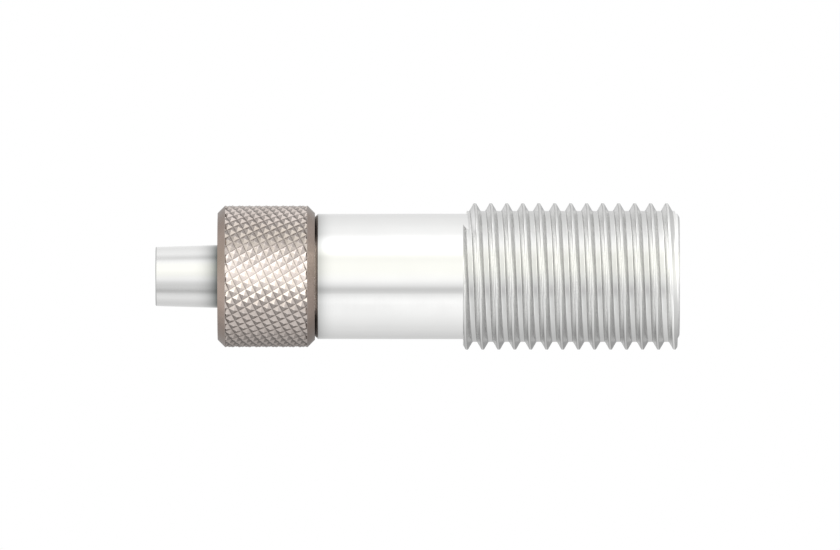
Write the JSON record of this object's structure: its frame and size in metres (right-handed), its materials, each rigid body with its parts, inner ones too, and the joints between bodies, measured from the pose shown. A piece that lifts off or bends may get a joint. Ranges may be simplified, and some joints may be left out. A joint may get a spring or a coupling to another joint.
{
  "type": "luer to npt adapter",
  "caption": "Rotating male luer lock on one end of a turned metal body, long male pipe thread on the other, drilled through for flow.",
  "frame": {"origin": "centre of the threaded end's face, which the adapter stands on", "axes": "+Z along the axis, from the threaded end to the luer tip; +X is the side that is up in the picture, and the picture looks along +Y"},
  "size_m": [0.0098, 0.0098, 0.0349],
  "materials": {
    "body_metal": "polished",
    "collar_metal": "diamond knurled, satin",
    "spring_steel": "flat spring strip"
  },
  "bodies": {
    "body": {"adapter_body": "body_metal", "retaining_ring": "spring_steel"},
    "collar": {"lock_ring": "collar_metal"}
  },
  "joints": [
    {"name": "lock_ring_spin", "type": "hinge", "parent": "body", "child": "collar", "pos_m": [0, 0, 0.02753], "axis": [0, 0, 1], "continuous": true}
  ]
}
